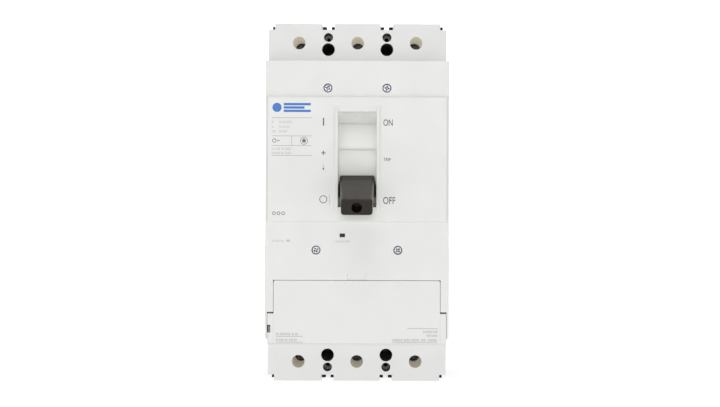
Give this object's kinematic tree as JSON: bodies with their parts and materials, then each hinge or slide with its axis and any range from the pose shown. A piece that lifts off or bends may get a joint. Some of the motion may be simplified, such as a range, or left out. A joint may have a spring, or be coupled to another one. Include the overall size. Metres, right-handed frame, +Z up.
{
  "type": "molded case breaker",
  "caption": "Three-pole moulded-case breaker, switch-disconnector version, with a toggle handle and sliding shutters, hinged accessory flap, bolted terminals and a push-to-trip button.",
  "frame": {"origin": "centre of the flat rear face that seats on the mounting plate", "axes": "+X right, +Z up along the poles with the line terminals at the top, front and handle towards -Y"},
  "size_m": [0.14, 0.166, 0.275],
  "materials": {
    "housing_dark": "fine-grained thermoset moulding",
    "shell_light": "light grey satin moulding",
    "flap_light": "light grey satin moulding",
    "shutter_light": "light grey smooth moulding",
    "insert_grey": "grey satin moulding",
    "handle_dark": "dark grey-brown eroded moulding",
    "shaft_black": "glass-filled moulding",
    "button_black": "matt moulding",
    "fibre_board": "vulcanised fibre board",
    "zinc_steel": "zinc-plated pressing",
    "splitter_steel": "copper-washed steel plate",
    "spring_steel": "drawn spring wire",
    "screw_steel": "zinc-plated, slightly dull",
    "copper": "bare rolled copper, dull",
    "copper_braid": "fine stranded copper",
    "contact_silver": "silver alloy pads"
  },
  "bodies": {
    "housing": {"base_housing": "housing_dark", "blanking_insert": "insert_grey", "chute_walls_1": "fibre_board", "chute_walls_2": "fibre_board", "chute_walls_3": "fibre_board", "cover_screws": "screw_steel", "fixed_tips": "contact_silver", "flexible_braid_1": "copper_braid", "flexible_braid_2": "copper_braid", "flexible_braid_3": "copper_braid", "front_cover": "shell_light", "housing_screws": "screw_steel", "latch_cradle": "zinc_steel", "line_bar_1": "copper", "line_bar_2": "copper", "line_bar_3": "copper", "load_bar_1": "copper", "load_bar_2": "copper", "load_bar_3": "copper", "mechanism_plates": "zinc_steel", "pivot_studs": "zinc_steel", "plate_spacers": "zinc_steel", "shutter_guide": "shutter_light", "splitter_plates_1": "splitter_steel", "splitter_plates_2": "splitter_steel", "splitter_plates_3": "splitter_steel", "terminal_bolts": "screw_steel", "terminal_nuts": "zinc_steel", "terminal_washers": "zinc_steel", "trip_spring": "spring_steel", "upper_housing": "shell_light"},
    "toggle": {"toggle_handle": "handle_dark", "outer_shutter": "shutter_light", "handle_yoke": "zinc_steel", "main_springs": "spring_steel"},
    "shutter": {"inner_shutter": "shutter_light"},
    "contact_arms": {"contact_shaft": "shaft_black", "moving_contact_1": "copper", "moving_contact_2": "copper", "moving_contact_3": "copper", "moving_tips": "contact_silver"},
    "upper_link": {"upper_links": "zinc_steel"},
    "lower_link": {"lower_links": "zinc_steel"},
    "trip_button": {"trip_button": "button_black"},
    "trip_bar": {"trip_bar": "shaft_black"},
    "flap": {"hinged_flap": "flap_light"}
  },
  "joints": [
    {"name": "toggle_pivot", "type": "hinge", "parent": "housing", "child": "toggle", "pos_m": [0, -0.026, 0.033], "axis": [-1, 0, 0], "range_deg": [0, 30], "deforming": ["main_springs"]},
    {"name": "shutter_slide", "type": "hinge", "parent": "housing", "child": "shutter", "pos_m": [0, -0.026, 0.033], "axis": [-1, 0, 0], "range_deg": [0, 15]},
    {"name": "contact_shaft_pivot", "type": "hinge", "parent": "housing", "child": "contact_arms", "pos_m": [0, -0.042, 0.004], "axis": [-1, 0, 0], "range_deg": [0, 30], "deforming": ["flexible_braid_1", "flexible_braid_2", "flexible_braid_3"]},
    {"name": "upper_link_pivot", "type": "hinge", "parent": "housing", "child": "upper_link", "pos_m": [0, -0.068, 0.03], "axis": [-1, 0, 0], "range_deg": [-43, 0]},
    {"name": "lower_link_pivot", "type": "hinge", "parent": "contact_arms", "child": "lower_link", "pos_m": [0, -0.0464, 0.02042], "axis": [-1, 0, 0], "range_deg": [-7, 0]},
    {"name": "trip_button_push", "type": "slide", "parent": "housing", "child": "trip_button", "axis": [0, 1, 0], "range_m": [0, 0.003], "stiffness_N_per_m": 250},
    {"name": "trip_bar_pivot", "type": "hinge", "parent": "housing", "child": "trip_bar", "pos_m": [0, -0.086, -0.0132], "axis": [1, 0, 0], "range_deg": [0, 14.4], "deforming": ["trip_spring"]},
    {"name": "flap_hinge", "type": "hinge", "parent": "housing", "child": "flap", "pos_m": [0, -0.113, -0.101], "axis": [1, 0, 0], "range_deg": [0, 110]}
  ],
  "couplings": [
    {"joint": "shutter_slide", "follows": "toggle_pivot", "ratio": 0.5},
    {"joint": "contact_shaft_pivot", "follows": "toggle_pivot", "ratio": 1},
    {"joint": "upper_link_pivot", "follows": "toggle_pivot", "ratio": -1.423},
    {"joint": "lower_link_pivot", "follows": "toggle_pivot", "ratio": -0.225},
    {"joint": "trip_bar_pivot", "follows": "trip_button_push", "rad_per_m": 83.3}
  ]
}
